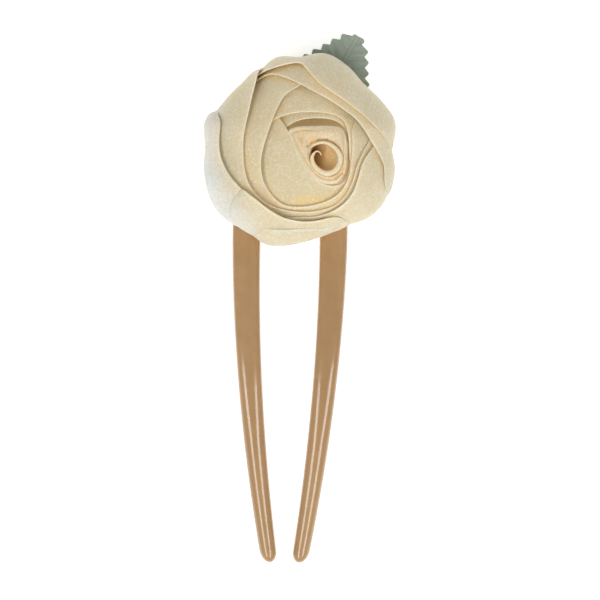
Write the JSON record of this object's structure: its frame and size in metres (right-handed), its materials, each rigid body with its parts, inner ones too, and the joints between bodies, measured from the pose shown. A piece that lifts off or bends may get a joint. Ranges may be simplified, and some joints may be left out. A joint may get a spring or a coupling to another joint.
{
  "type": "flower hair fork",
  "caption": "Moulded two-prong hair fork with a rolled organza rose and a leaf glued on a felt backing at its bridge.",
  "frame": {"origin": "centre of the flat face of the felt patch on the back", "axes": "+Y along the fork towards the rose end, +Z out of the flower, +X to the right seen from the front"},
  "size_m": [0.0481, 0.1333, 0.0225],
  "materials": {
    "fork_plastic": "glossy tan moulded plastic",
    "felt": "matte felt",
    "glue": "milky hot-melt glue",
    "organza": "shimmering sheer cream organza, folded double",
    "thread": "twisted sewing thread",
    "leaf_fabric": "pressed satin leaf with embossed veins"
  },
  "bodies": {
    "flower_and_bridge": {"fork_bridge": "fork_plastic", "felt_back": "felt", "felt_base": "felt", "glue_core": "glue", "gathered_core": "organza", "binding_thread": "thread", "bud_roll": "organza", "bud_wrap": "organza", "inner_left_petal": "organza", "inner_top_petal": "organza", "middle_top_petal": "organza", "middle_left_petal": "organza", "long_left_petal": "organza", "right_petal": "organza", "long_right_petal": "organza", "top_petal": "organza", "outer_left_petal": "organza", "lower_petal": "organza", "bottom_petal": "organza", "leaf": "leaf_fabric"},
    "left_prong": {"left_prong": "fork_plastic"},
    "right_prong": {"right_prong": "fork_plastic"}
  },
  "joints": [
    {"name": "left_prong_flex", "type": "hinge", "parent": "flower_and_bridge", "child": "left_prong", "pos_m": [-0.01093, -0.02, 0.0029], "axis": [0, 0, -1], "range_deg": [-1.2, 5], "stiffness_Nm_per_rad": 2.8},
    {"name": "right_prong_flex", "type": "hinge", "parent": "flower_and_bridge", "child": "right_prong", "pos_m": [0.01093, -0.02, 0.0029], "axis": [0, 0, 1], "range_deg": [-1.2, 5], "stiffness_Nm_per_rad": 2.8}
  ]
}
